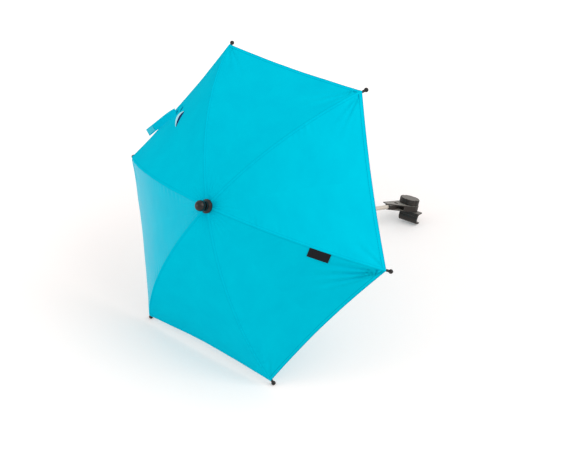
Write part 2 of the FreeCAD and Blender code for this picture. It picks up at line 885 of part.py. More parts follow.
def fork_pin(label, frame):
    """Riveted over at both ends, below the faces of the arm."""
    seat = size("arm_thickness") / 2 - size("fork_head_recess")
    head = ("fork_head_diameter / 2", "fork_head_height")
    body = fuse(
        cylinder("fork_pin_diameter / 2", "arm_thickness - 2 * fork_head_recess", Vector(0, 0, -seat)),
        cylinder(*head, Vector(0, 0, seat)),
        cylinder(*head, Vector(0, 0, -seat - size("fork_head_height"))),
    )
    node(label, body, frame)


# jaw, about the clamp screw at the middle of the arm; Y runs along the pram tube

def jaw_top():
    return -size("arm_thickness") / 2 - size("jaw_gap")


def tube_axis():
    return jaw_top() - size("jaw_wall") - size("tube_radius")


def jaw_bottom():
    return tube_axis() - size("tube_radius") - size("jaw_wall")


def boss_top():
    return size("arm_thickness") / 2 + size("boss_above_arm")


def plunger_bottom():
    return tube_axis() + size("tube_radius") + size("pad_thickness") + size("fit_clearance")


def clamp_jaw(label, frame):
    along = -size("jaw_offset")
    middle = Vector(0, along, tube_axis())
    outer = size("tube_radius") + size("jaw_wall")
    hook = fuse(
        pin("tube_radius + jaw_wall", "jaw_length", middle),
        plate(
            "tube_radius + jaw_wall + jaw_upper_lip",
            "jaw_length",
            "jaw_wall + tube_radius / 2",
            Vector(-outer, along, jaw_top() - size("jaw_wall") - size("tube_radius") / 2),
        ),
        plate("jaw_lower_lip", "jaw_length", "jaw_wall", Vector(0, along, jaw_bottom())),
    )
    opening = plate(
        "2 * jaw_upper_lip",
        "2 * jaw_length",
        "2 * tube_radius",
        Vector(0, along, tube_axis() - size("tube_radius")),
    )
    hook = cut(hook, pin("tube_radius", "2 * jaw_length", middle), opening)
    boss_foot = jaw_top() - size("jaw_wall") / 2
    height = "boss_above_arm + arm_thickness + jaw_gap + jaw_wall / 2"
    boss = cylinder("boss_diameter / 2", height, Vector(0, 0, boss_foot))
    groove = tube("boss_diameter", "boss_diameter / 2 - retainer_groove", "retainer_thickness + jaw_gap")
    groove.Placement = at_height(retainer_bottom() - size("jaw_gap") / 2)
    well_floor = Vector(0, 0, tube_axis())
    well = "tube_radius + pad_thickness + plunger_length + plunger_travel + 2 * jaw_gap"
    seat = Vector(0, 0, boss_top() - size("insert_length"))
    screw_way = cylinder("screw_diameter / 2 + jaw_gap", height, Vector(0, 0, boss_foot))
    jaw = cut(
        fuse(hook, boss),
        groove,
        cylinder("plunger_diameter / 2 + plunger_clearance", well, well_floor),
        cylinder("insert_diameter / 2 + fit_clearance", "insert_length", seat),
        screw_way,
    )
    node(label, jaw, frame)


def retainer_bottom():
    return size("arm_thickness") / 2 + size("jaw_gap")


def arm_retainer(label, frame):
    """Open spring ring in the groove of the boss."""
    closed = tube(
        "retainer_diameter / 2",
        "boss_diameter / 2 - retainer_groove + fit_clearance",
        "retainer_thickness",
    )
    gap = plate("retainer_diameter", "insert_diameter", "retainer_thickness")
    node(label, cut(closed, gap), frame.multiply(at_height(retainer_bottom())))


def clamp_insert(label, frame):
    bush = tube("insert_diameter / 2", "screw_diameter / 2 + screw_clearance", "insert_length")
    node(label, bush, frame.multiply(at_height(boss_top() - size("insert_length"))))


def clamp_plunger(label, frame):
    depth = Vector(0, 0, size("plunger_length") - size("plunger_socket"))
    body = cut(
        cylinder("plunger_diameter / 2", "plunger_length"),
        cylinder("screw_diameter / 2 + screw_clearance", "plunger_length", depth),
    )
    node(label, body, frame.multiply(at_height(plunger_bottom())))


def plunger_pad(label, frame):
    disc = cylinder("plunger_diameter / 2", "pad_thickness")
    node(label, disc, frame.multiply(at_height(plunger_bottom() - size("pad_thickness"))))


def knob_bottom():
    return size("arm_thickness") / 2 + size("knob_gap")


def clamp_screw(label, frame):
    foot = plunger_bottom() + size("plunger_length") - size("plunger_socket") + size("fit_clearance")
    to_jaw = "arm_thickness + jaw_gap + jaw_wall - pad_thickness - plunger_length + plunger_socket"
    in_knob = "knob_gap + knob_cavity_depth + knob_screw_depth - 3 * fit_clearance"
    shaft = cylinder("screw_diameter / 2", f"{to_jaw} + {in_knob}")
    node(label, shaft, frame.multiply(at_height(foot)))


def clamp_knob(label, frame):
    """Lobed hand knob with a hollow over the spring ring."""
    flute_spot = size("knob_diameter") / 2 + size("flute_diameter") / 2 - size("flute_depth")
    flutes = []
    for i in range(FLUTES):
        way = Rotation(UP, 360 * i / FLUTES).multVec(Vector(flute_spot, 0, 0))
        flutes.append(cylinder("flute_diameter / 2", "knob_height", way))
    lobes = rounded(cut(cylinder("knob_diameter / 2", "knob_height"), *flutes), size("knob_rounding"))
    hollow = cylinder("knob_cavity_diameter / 2", "knob_cavity_depth")
    hole = cylinder("screw_diameter / 2 + fit_clearance", "knob_cavity_depth + knob_screw_depth")
    node(label, cut(lobes, hollow, hole), frame.multiply(at_height(knob_bottom())))


# frames of the sub-assemblies, and the parasol as it lies

def lower_frame():
    return Placement(Vector(), Rotation(ACROSS, size("tilt_angle")))


def foot_frame():
    return lower_frame().multiply(Placement(Vector(0, 0, -size("lower_stick_length")), Rotation(UP, 90)))


def arm_frame():
    to_arm = Rotation(ACROSS, -90) * Rotation(UP, 180 - size("arm_swing"))
    return lower_frame().multiply(Placement(Vector(0, 0, -size("lower_stick_length")), to_arm))


def jaw_frame():
    turn = Rotation(UP, size("arm_swing") + size("jaw_turn"))
    return arm_frame().multiply(Placement(Vector(size("arm_length"), 0, 0), turn))


def lying_frame():
    """The stick leant so that two tip balls and the lower corner of the jaw's lower lip touch the floor."""
    radius = size("canopy_radius") * math.cos(math.radians(FIRST_RIB))
    height = size("hub_to_tilt") - size("canopy_rise")
    ball_radius = size("tip_ball_diameter") / 2
    leans = []
    for side in (-1, 1):
        end = side * size("jaw_length") / 2 - size("jaw_offset")
        corner = jaw_frame().multVec(Vector(size("jaw_lower_lip"), end, jaw_bottom()))
        across = corner.x - radius
        along = height - corner.z
        leans.append(math.asin(ball_radius / math.hypot(across, along)) - math.atan2(across, along))
    lean = min(leans)
    lift = ball_radius + radius * math.cos(lean) - height * math.sin(lean)
    turn = Rotation(ACROSS, math.degrees(lean) - 90) * Rotation(UP, 180)
    return Placement(Vector(0, 0, lift), turn)


def build(lying):
    lower = lying.multiply(lower_frame())
    arm = lying.multiply(arm_frame())
    jaw = lying.multiply(jaw_frame())
    for i in range(RIB_COUNT):
        meridian = lying.multiply(spoke(i))
        rib(f"rib_{i + 1}", meridian)
        rib_rivet(f"rib_rivet_{i + 1}", meridian)
        rib_tip(f"rib_tip_{i + 1}", meridian)
        stretcher(f"stretcher_{i + 1}", meridian)
        canopy_panel(f"canopy_panel_{i + 1}", meridian)
    seam_tag("seam_tag", lying.multiply(spoke(1)))
    closing_strap("closing_strap", lying.multiply(spoke(4)))
    strap_patch("strap_patch", lying.multiply(spoke(4)))
    for make in (
        finial, canopy_washer, top_notch, runner, upper_stick, catch_spring,
        knuckle_fork, tilt_pin, tilt_button,
    ):
        make(make.__name__, lying)
    tie_wire("notch_tie_wire", "notch_ring_radius", rib_hinge().z, lying)
    tie_wire("runner_tie_wire", "runner_ring_radius", runner_ring_height(), lying)
    for make in (knuckle_tongue, lower_stick):
        make(make.__name__, lower)
    stick_foot("stick_foot", lying.multiply(foot_frame()))
    for make in (clamp_arm, fork_pin):
        make(make.__name__, arm)
    for make in (
        clamp_jaw, arm_retainer, clamp_insert, clamp_plunger, plunger_pad, clamp_screw, clamp_knob,
    ):
        make(make.__name__, jaw)


def set_down():
    """The bottom middle of the whole parasol becomes the origin."""
    bounds = FreeCAD.BoundBox()
    for piece in nodes:
        bounds.add(piece.Shape.optimalBoundingBox(False))
    shift = -Vector(bounds.Center.x, bounds.Center.y, bounds.ZMin)
    for piece in nodes:
        piece.Placement = Placement(shift, Rotation()).multiply(piece.Placement)
    doc.recompute()
    return shift


def check():
    for thing in doc.Objects:
        if "Invalid" in thing.State or "Error" in thing.State:
            raise RuntimeError(f"{thing.Label}: {thing.State}")
    for piece in nodes:
        if piece.Shape.isNull() or not piece.Shape.isValid() or len(piece.Shape.Solids) != 1:
            raise RuntimeError(f"{piece.Label}: the shape is not one valid solid")


fill_sheet()
lying = lying_frame()
build(lying)
doc.recompute()
shift = set_down()
check()
os.makedirs("parts", exist_ok=True)
for piece in nodes:
    piece.Shape.exportStep(f"parts/{piece.Label}.step")
print(f"{len(nodes)} nodes written")
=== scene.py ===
import json
import math
from collections import Counter

import bpy
from mathutils import Matrix, Vector, noise


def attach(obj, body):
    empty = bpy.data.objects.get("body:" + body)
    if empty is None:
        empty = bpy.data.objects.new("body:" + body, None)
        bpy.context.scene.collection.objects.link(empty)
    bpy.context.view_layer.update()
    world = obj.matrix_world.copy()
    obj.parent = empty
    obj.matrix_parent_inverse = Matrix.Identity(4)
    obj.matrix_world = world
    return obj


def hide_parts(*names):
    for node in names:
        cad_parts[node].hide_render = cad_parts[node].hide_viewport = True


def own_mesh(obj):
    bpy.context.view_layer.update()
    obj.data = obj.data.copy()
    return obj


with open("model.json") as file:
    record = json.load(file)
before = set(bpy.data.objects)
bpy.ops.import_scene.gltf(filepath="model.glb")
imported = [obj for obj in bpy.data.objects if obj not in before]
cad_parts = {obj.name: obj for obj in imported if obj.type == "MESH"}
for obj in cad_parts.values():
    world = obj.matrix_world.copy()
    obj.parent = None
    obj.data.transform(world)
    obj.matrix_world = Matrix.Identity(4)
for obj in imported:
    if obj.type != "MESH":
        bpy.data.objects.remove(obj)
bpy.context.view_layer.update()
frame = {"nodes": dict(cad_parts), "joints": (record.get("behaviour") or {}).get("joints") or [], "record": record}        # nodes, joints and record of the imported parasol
print("frame loaded:", len(frame["nodes"]), "nodes")

millimetre = 0.001
ribCount = 6
halfStep = math.pi / ribCount       # a seam to the middle of the panel beside it
joints = {joint["name"]: joint for joint in frame["joints"]}
stickUp = -Vector(joints["canopy_fold"]["axis"])      # along the upper stick to the crown
stickAcross = Vector(joints["stick_tilt"]["axis"])
tiltPin = Vector(joints["stick_tilt"]["pos_m"])


def frameAcross(across):
    # millimetres about the tilt pin, with Y along across and Z up the stick, to metres in the row frame
    turn = Matrix((across.cross(stickUp), across, stickUp)).transposed()
    return Matrix.Translation(tiltPin) @ turn.to_4x4() @ Matrix.Scale(millimetre, 4)


stickFrame = frameAcross(stickAcross)
ribFrames = {k: frameAcross(Vector(joints[f"rib_{k}_fold"]["axis"])) for k in range(1, ribCount + 1)}


def linear(code):
    # sRGB hex to a linear colour
    parts = [int(code[i:i + 2], 16) / 255 for i in (1, 3, 5)]
    return [c / 12.92 if c <= 0.04045 else ((c + 0.055) / 1.055) ** 2.4 for c in parts] + [1.0]


def addNode(tree, kind, settings=None, links=None):
    node = tree.nodes.new(kind)
    for name, value in (settings or {}).items():
        if isinstance(name, int) or name in node.inputs:
            node.inputs[name].default_value = value
        else:
            setattr(node, name, value)
    for name, socket in (links or {}).items():
        tree.links.new(socket, node.inputs[name])
    return node


def newMaterial(name, settings):
    material = bpy.data.materials.new(name)
    material.use_nodes = True
    tree = material.node_tree
    shader = tree.nodes["Principled BSDF"]
    for socket, value in settings.items():
        shader.inputs[socket].default_value = value
    return material, tree, shader


def bandScale(pitch):
    # a wave texture's scale for bands that repeat every pitch, in the units of its vector
    return math.tau / 20 / pitch        # at a scale of 1 there are 20 / tau bands to a unit


# Camera: placed in the stick's own frame, in millimetres
view = {
    "position": (-435.6, 1542.6, 2335.6),
    "forward": (0.170, -0.566, -0.806),
    "up": (-0.941, -0.336, 0.038),
    "lens": 81.85,
    "sensor": 36,
}


def addCamera():
    turn = stickFrame.to_3x3().normalized()
    forward = (turn @ Vector(view["forward"])).normalized()
    right = forward.cross(turn @ Vector(view["up"])).normalized()
    axes = Matrix((right, right.cross(forward), -forward)).transposed()
    data = bpy.data.cameras.new("photo_camera")
    data.lens = view["lens"]
    data.sensor_width = view["sensor"]
    data.sensor_fit = "HORIZONTAL"
    camera = bpy.data.objects.new("photo_camera", data)
    camera.matrix_world = Matrix.Translation(stickFrame @ Vector(view["position"])) @ axes.to_4x4()
    bpy.context.scene.collection.objects.link(camera)
    bpy.context.scene.camera = camera


addCamera()
print("camera set")

# Studio: a pale floor that keeps the shadow, a white world and soft lamps
studio = {
    "white": "#FFFFFF",
    "worldStrength": 0.67,
    "floorSize": 12.0,
    "floorColour": "#F0E9E6",       # warm, against the blue that the cloth throws into its shadow
    "floorGlow": (0.23, 0.62),      # near and far, seen by the camera, in reflections and through glass only
    "glowReach": (0.45, 1.6),
    "lamps": {
        "right_softbox": {"from": (0.45, -1.85, 1.95), "size": 2.2, "power": 34},
        "left_softbox": {"from": (-2.3, 1.4, 0.9), "size": 1.2, "power": 14},
    },
}


def seenPlainly(tree):
    # 1 where the camera looks, straight, by a reflection or through glass, and 0 for light on its way
    path = addNode(tree, "ShaderNodeLightPath")
    mirrored = addNode(tree, "ShaderNodeMath", {"operation": "ADD"},
                       {0: path.outputs["Is Camera Ray"], 1: path.outputs["Is Glossy Ray"]})
    seen = addNode(tree, "ShaderNodeMath", {"operation": "ADD", "use_clamp": True},
                   {0: mirrored.outputs[0], 1: path.outputs["Is Transmission Ray"]})
    return seen.outputs[0]


def addWorld():
    world = bpy.data.worlds.new("studio_world")
    world.use_nodes = True
    tree = world.node_tree
    strength = addNode(tree, "ShaderNodeMapRange", {"To Min": studio["worldStrength"], "To Max": 1.0},
                       {"Value": seenPlainly(tree)})
    background = tree.nodes["Background"]
    background.inputs["Color"].default_value = linear(studio["white"])
    tree.links.new(strength.outputs["Result"], background.inputs["Strength"])
    bpy.context.scene.world = world


def rolledPaper():
    # white background paper, rolled out matt: no gloss at all, so that only the shadow shows on it
    material, tree, shader = newMaterial("matt_white_paper", {"Roughness": 1.0, "Specular IOR Level": 0.0})
    shader.inputs["Base Color"].default_value = linear(studio["floorColour"])
    shader.inputs["Emission Color"].default_value = linear(studio["white"])
    place = addNode(tree, "ShaderNodeTexCoord")
    away = addNode(tree, "ShaderNodeVectorMath", {"operation": "LENGTH"}, {0: place.outputs["Object"]})
    paler = addNode(tree, "ShaderNodeMapRange", {
        "From Min": studio["glowReach"][0], "From Max": studio["glowReach"][1],
        "To Min": studio["floorGlow"][0], "To Max": studio["floorGlow"][1]}, {"Value": away.outputs["Value"]})
    glow = addNode(tree, "ShaderNodeMath", {"operation": "MULTIPLY"},
                   {0: seenPlainly(tree), 1: paler.outputs["Result"]})
    tree.links.new(glow.outputs[0], shader.inputs["Emission Strength"])
    return material


def addFloor():
    half = studio["floorSize"] / 2
    mesh = bpy.data.meshes.new("studio_floor")
    corners = [(-half, -half, 0), (half, -half, 0), (half, half, 0), (-half, half, 0)]
    mesh.from_pydata(corners, [], [(0, 1, 2, 3)])
    mesh.materials.append(rolledPaper())
    floor = bpy.data.objects.new("studio_floor", mesh)
    bpy.context.scene.collection.objects.link(floor)


def addLamps():
    for name, lamp in studio["lamps"].items():
        data = bpy.data.lights.new(name, "AREA")
        data.size = lamp["size"]
        data.energy = lamp["power"]
        light = bpy.data.objects.new(name, data)
        light.location = lamp["from"]
        light.rotation_euler = (-Vector(lamp["from"])).to_track_quat("-Z", "Y").to_euler()
        bpy.context.scene.collection.objects.link(light)


bpy.context.scene.view_settings.view_transform = "Standard"
addWorld()
addFloor()
addLamps()
print("studio lit")

# Dyed polyester taffeta, plain woven: matt, even colour with a faint thread grid. The panel that keeps
# the press's glaze has a pale bloom at grazing angles. The threads are 0.2 mm apart; they are drawn
# 1.9 mm apart so that they show.
taffeta = {
    "shade": "#00BEDC",
    "light": "#00CDE6",
    "threadAndShadow": "#0092B8",        # thread, and the shadow at a turned edge
    "threadPitch": 1.9,
    "threadTone": 0.22,         # what the threads add to the uneven dye
    "mottle": 55.0,             # size of the uneven patches in the dye and tension
    "hemEdge": (1.95, 0.78),    # the shadow at the hem grows between these distances from it
    "hemShade": 0.8,
    "seamEdge": (4.25, 2.89),   # and where the cloth turns up to a seam, from the middle of its rib
    "seamShade": 0.2,
    "stitchPitch": 3.0,
    "stitchGap": 0.72,
    "stitchLine": 7.6,          # lockstitch inside the hem
    "stitchWidth": 0.9,
    "stitchHeight": 1.5,        # in heights of the threads
    "glaze": 0.06,
}


def dyedTaffeta(name, hemmedAndShaded, gloss):
    material, tree, shader = newMaterial(name, {
        "Roughness": 0.34,
        "Specular IOR Level": gloss,
        "Sheen Weight": 0.02,
        "Sheen Roughness": 0.3,
    })
    along = addNode(tree, "ShaderNodeAttribute", {"attribute_name": "alongCloth"})
    across = addNode(tree, "ShaderNodeAttribute", {"attribute_name": "acrossCloth"})
    spot = addNode(tree, "ShaderNodeCombineXYZ", links={0: across.outputs["Fac"], 1: along.outputs["Fac"]})
    pitch = {"Scale": bandScale(taffeta["threadPitch"]), "Distortion": 1.2, "Detail": 1.0}
    warp = addNode(tree, "ShaderNodeTexWave", {"bands_direction": "X", **pitch}, {"Vector": spot.outputs[0]})
    weft = addNode(tree, "ShaderNodeTexWave", {"bands_direction": "Y", **pitch}, {"Vector": spot.outputs[0]})
    threads = addNode(tree, "ShaderNodeMath", {"operation": "MULTIPLY"},
                      {0: warp.outputs["Fac"], 1: weft.outputs["Fac"]})
    mottle = addNode(tree, "ShaderNodeTexNoise", {"Scale": 1 / taffeta["mottle"], "Detail": 3.0},
                     {"Vector": spot.outputs[0]})
    tone = addNode(tree, "ShaderNodeMath", {"operation": "MULTIPLY_ADD", 1: taffeta["threadTone"]},
                   {0: threads.outputs[0], 2: mottle.outputs["Fac"]})
    dyed = addNode(tree, "ShaderNodeMix", {
        "data_type": "RGBA", 6: linear(taffeta["shade"]), 7: linear(taffeta["light"])}, {0: tone.outputs[0]})
    colour = dyed.outputs[2]
    height = threads.outputs[0]
    if hemmedAndShaded:
        fromHem = addNode(tree, "ShaderNodeAttribute", {"attribute_name": "fromHem"})
        alongHem = addNode(tree, "ShaderNodeAttribute", {"attribute_name": "alongHem"})
        line = addNode(tree, "ShaderNodeMath", {
            "operation": "COMPARE", 1: taffeta["stitchLine"], 2: taffeta["stitchWidth"] / 2},
            {0: fromHem.outputs["Fac"]})
        dash = addNode(tree, "ShaderNodeMath", {"operation": "PINGPONG", 1: taffeta["stitchPitch"] / 2},
                       {0: alongHem.outputs["Fac"]})
        thread = addNode(tree, "ShaderNodeMath", {"operation": "GREATER_THAN", 1: taffeta["stitchGap"] / 2},
                         {0: dash.outputs[0]})
        stitch = addNode(tree, "ShaderNodeMath", {"operation": "MULTIPLY"},
                         {0: line.outputs[0], 1: thread.outputs[0]})
        # painted shadow: the cloth is darkened towards the hem and towards each seam, where the turned edge
        # would shade it; the stitch mask mixed into the same dark colour is real thread
        hemShadow = addNode(tree, "ShaderNodeMapRange", {
            "From Min": taffeta["hemEdge"][0], "From Max": taffeta["hemEdge"][1],
            "To Max": taffeta["hemShade"]}, {"Value": fromHem.outputs["Fac"]})
        fromRib = addNode(tree, "ShaderNodeMath", {"operation": "ABSOLUTE"}, {0: across.outputs["Fac"]})
        seamShadow = addNode(tree, "ShaderNodeMapRange", {
            "From Min": taffeta["seamEdge"][0], "From Max": taffeta["seamEdge"][1],
            "To Max": taffeta["seamShade"]}, {"Value": fromRib.outputs[0]})
        turned = addNode(tree, "ShaderNodeMath", {"operation": "MAXIMUM"},
                         {0: hemShadow.outputs["Result"], 1: seamShadow.outputs["Result"]})
        dark = addNode(tree, "ShaderNodeMath", {"operation": "MAXIMUM"},
                       {0: turned.outputs[0], 1: stitch.outputs[0]})
        sewn = addNode(tree, "ShaderNodeMix", {"data_type": "RGBA", 7: linear(taffeta["threadAndShadow"])},
                       {0: dark.outputs[0], 6: colour})
        colour = sewn.outputs[2]
        stack = addNode(tree, "ShaderNodeMath", {"operation": "MULTIPLY_ADD", 1: taffeta["stitchHeight"]},
                        {0: stitch.outputs[0], 2: height})
        height = stack.outputs[0]
    tree.links.new(colour, shader.inputs["Base Color"])
    bump = addNode(tree, "ShaderNodeBump", {"Strength": 0.35, "Distance": 0.3 * millimetre},
                   {"Height": height})
    tree.links.new(bump.outputs["Normal"], shader.inputs["Normal"])
    return material


canopyTaffeta = dyedTaffeta("dyed_polyester_taffeta_woven", True, 0.0)
glazedTaffeta = dyedTaffeta("dyed_polyester_taffeta_pressed", True, taffeta["glaze"])
seamTaffeta = dyedTaffeta("folded_polyester_taffeta_seam", False, 0.0)

# Canopy: one curved sheet over the dome of the ribs, sewn along the ribs and creased between them
canopy = {
    "radius": 350.0,        # stick axis to the middle of a tip ball
    "rise": 141.0,          # crown above the plane of the tip balls
    "crownHeight": 405.0,   # crown above the tilt pin
    "face": 2.5,            # outer face above the middle line of the ribs
    "thickness": 0.6,
    "seamHalf": 1.7,
    "holeRadius": 10.4,
    "hemFromTip": 10.3,
    "glazedPanel": 5,
    "hemBow": {1: 10.5, 2: 8.0, 3: 6.5, 4: 9.5, 5: 11.0, 6: 11.0},    # by panel, from the rib of its number
    "sag": 6.0,
    "rows": 118,
    "columns": 44,
    # the last rows, by their distance from the hem, close together where its sewing is
    "hemRows": [14, 11.5, 10, 9.2, 8.6, 8.1, 7.6, 7.1, 6.4, 5, 3.4, 1.8, 0.7, 0],
}
domeRadius = (canopy["radius"] ** 2 + canopy["rise"] ** 2) / (2 * canopy["rise"])
domeMiddle = canopy["crownHeight"] - domeRadius
tipArc = domeRadius * math.asin(canopy["radius"] / domeRadius)
cornerArc = tipArc - canopy["hemFromTip"]
holeArc = domeRadius * math.asin(canopy["holeRadius"] / domeRadius)

# how far each height in the cloth stands out of the plain dome, in millimetres
relief = {
    "hemBand": 9.0,
    "hemRise": 0.22,
    "hemStep": 0.8,                 # width of the step up to the turned hem
    "stitchGroove": 0.12,
    "grooveWidth": 0.6,
    "creaseDepth": 0.16,
    "creaseWidth": 8.0,
    "creaseStart": 40.0,            # from the crown
    "creaseFade": 60.0,             # whole this much further out
    "swell": 1.4,                   # slow waves in the taut cloth
    "swellSize": 85.0,
    "tautEdge": 45.0,               # the waves die away this near to a seam
    "crumple": 0.28,                # what is left of the folds it was packed in
    "crumpleSize": 24.0,
    "pucker": 0.60,                 # small ripples along the sewing of the seams
    "puckerPitch": 13.0,
    "puckerDrift": 4.0,             # how far the ripples stray from their pitch, in radians
    "puckerDriftSize": 60.0,
    "puckerPatch": 45.0,            # size of the stretches that pucker
    "puckerShare": 0.35,            # the higher, the more of them do
    "puckerStart": 3.0,
    "puckerWidth": 14.0,
    "gather": 1.1,                  # pleats drawn in under the collar
    "gatherReach": 62.0,
    "gatherCount": 3,               # to a half panel
    "gatherDrift": 2.0,
    "gatherStart": 4.0,
    "fanAngle": math.radians(56),   # folds that fan out from a rib tip
    "fanStart": 14.0,
    "fanSoftness": 0.6,
    "fanPhase": 0.6,
}
# those folds by rib and side: depth, count, length
cornerFolds = {
    (2, -1): (4.2, 4, 76.0),
    (2, 1): (1.6, 2, 52.0),
    (3, -1): (2.6, 3, 62.0),
    (3, 1): (2.4, 3, 64.0),
    (4, -1): (1.6, 3, 52.0),
    (4, 1): (1.4, 2, 48.0),
    (5, -1): (1.8, 3, 52.0),
    (5, 1): (2.2, 3, 58.0),
    (6, 1): (1.2, 2, 46.0),
    (1, 1): (1.5, 2, 60.0),
}
plainCorner = (0.9, 2, 46.0)
# steps through the noise that keep one panel's or seam's unevenness from being the next one's
noiseSteps = {"swell": 7.3, "pucker": (3.1, 1.7), "gather": (0.2, 2.7), "seam": (5.5, 0.4)}


def panelOf(rib, side):
    return rib if side > 0 else (rib - 2) % ribCount + 1


def bulge(share):
    return 2 * share - share * share        # 0 on the seam, 1 and level on the crease


def smooth(value):
    value = min(1.0, max(0.0, value))
    return value * value * (3 - 2 * value)


def bell(value, width):
    return math.exp(-(value / width) ** 2)


def ridge(arc, lift):
    reach = domeRadius + lift
    return reach * math.sin(arc / domeRadius), domeMiddle + reach * math.cos(arc / domeRadius)


def panelHalf(radius):
    # straight width from the edge of the seam to the crease
    return radius * math.sin(halfStep) - canopy["seamHalf"] * math.cos(halfStep)


def panelHalfAt(arc):
    return panelHalf(ridge(arc, canopy["face"])[0])


def hemArc(panel, share):
    return cornerArc - canopy["hemBow"][panel] * bulge(share)


def clothPoint(side, share, arc, lift=0.0):
    radius, height = ridge(arc, canopy["face"] + lift)
    width = share * panelHalf(radius)
    sag = canopy["sag"] * bulge(share) * (radius / canopy["radius"]) ** 2
    across = canopy["seamHalf"] + width * math.cos(halfStep)
    return Vector((radius - width * math.sin(halfStep), side * across, height - sag))


def onCloth(side, arc, across, lift):
    # the same by its distance across from the rib
    width = (across - canopy["seamHalf"]) / math.cos(halfStep)
    return clothPoint(side, width / panelHalfAt(arc), arc, lift)


def outOfDome(point):
    return (point - Vector((0, 0, domeMiddle))).normalized()


def cornerFold(rib, side, inward, across):
    depth, count, length = cornerFolds.get((rib, side), plainCorner)
    reach = math.hypot(inward, across)
    turn = math.atan2(across, inward) / relief["fanAngle"]
    if not 0 < turn < 1:
        return 0.0
    spread = math.sin(math.pi * turn) ** relief["fanSoftness"]
    fade = min(1.0, reach / relief["fanStart"]) * bell(reach, length)
    return -depth * spread * fade * math.cos(math.tau * count * turn + relief["fanPhase"])


def seamPucker(rib, side, arc, fromSeam):
    ribStep, sideStep = noiseSteps["pucker"]
    drift = relief["puckerDrift"] * noise.noise(Vector((arc / relief["puckerDriftSize"], rib, side)))
    ripple = math.sin(math.tau * arc / relief["puckerPitch"] + drift)
    patch = noise.noise(Vector((arc / relief["puckerPatch"], ribStep * rib, sideStep * side)))
    edge = smooth(fromSeam / relief["puckerStart"]) * bell(fromSeam, relief["puckerWidth"])
    return relief["pucker"] * ripple * smooth(patch + relief["puckerShare"]) * edge


def collarGather(rib, side, share, arc, fromSeam):
    level, ribStep = noiseSteps["gather"]
    drift = relief["gatherDrift"] * noise.noise(Vector((level, ribStep * rib, side)))
    pleats = (math.cos(math.tau * relief["gatherCount"] * share + drift) - 1) / 2
    fade = bell(arc, relief["gatherReach"]) * smooth(fromSeam / relief["gatherStart"])
    return relief["gather"] * pleats * fade


def clothRelief(rib, side, share, arc, across, fromHem):
    fromSeam = across - canopy["seamHalf"]
    fromCrease = -side * (1 - share) * panelHalfAt(arc)
    taut = smooth(fromSeam / relief["tautEdge"])
    spot = Vector((arc / relief["swellSize"], fromCrease / relief["swellSize"],
                   noiseSteps["swell"] * panelOf(rib, side)))
    rise = relief["swell"] * taut * noise.noise(spot)
    rise += relief["crumple"] * taut * noise.noise(spot * (relief["swellSize"] / relief["crumpleSize"]))
    creased = smooth((arc - relief["creaseStart"]) / relief["creaseFade"])
    rise -= relief["creaseDepth"] * bell(fromCrease, relief["creaseWidth"]) * creased
    rise += seamPucker(rib, side, arc, fromSeam)
    rise += collarGather(rib, side, share, arc, fromSeam)
    rise += cornerFold(rib, side, cornerArc - arc, fromSeam)
    rise += relief["hemRise"] * smooth((relief["hemBand"] - fromHem) / relief["hemStep"] + 0.5)
    rise -= relief["stitchGroove"] * bell(fromHem - taffeta["stitchLine"], relief["grooveWidth"])
    return rise


def addPiece(name, points, faces, material, place):
    mesh = bpy.data.meshes.new(name)
    mesh.from_pydata([place @ Vector(point) for point in points], [], faces)
    mesh.materials.append(material)
    mesh.shade_smooth()
    mesh.update()
    # a cut edge stays sharp, so the sheet's face is lit evenly up to it
    used = Counter(key for face in mesh.polygons for key in face.edge_keys)
    for edge in mesh.edges:
        edge.use_edge_sharp = used[edge.key] == 1
    piece = bpy.data.objects.new(name, mesh)
    bpy.context.scene.collection.objects.link(piece)
    return piece


def gridFaces(rows, columns, flip=False):
    # quads over a grid of rows x columns points, listed row by row
    faces = []
    for i in range(rows - 1):
        for j in range(columns - 1):
            near = i * columns + j
            quad = (near, near + 1, near + columns + 1, near + columns)
            faces.append(quad[::-1] if flip else quad)
    return faces


def storeValues(piece, name, values):
    layer = piece.data.attributes.new(name, "FLOAT", "POINT")
    layer.data.foreach_set("value", values)


def thicken(piece, thickness):
    shell = piece.modifiers.new("thickness", "SOLIDIFY")
    shell.thickness = thickness * millimetre
    shell.offset = -1


def foldWith(piece):
    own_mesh(piece)


# Tuck: near the crown each half panel runs on under the next one, so that the folded cloth stays closed
tuckUnder = {
    "width": 24.0,
    "share": 0.85,          # of the half panel, where that is narrower
    "full": 90.0,           # it narrows between these two distances from the crown
    "end": 170.0,
    "least": 0.1,           # of its width, at its end
    "depth": 1.5,
    "dip": 4.0,             # it goes under within this width
    "columns": 6,
}


def tuckWidth(arc, half):
    narrowed = smooth((arc - tuckUnder["full"]) / (tuckUnder["end"] - tuckUnder["full"]))
    fade = 1 - (1 - tuckUnder["least"]) * narrowed
    return min(tuckUnder["width"], tuckUnder["share"] * half) * fade


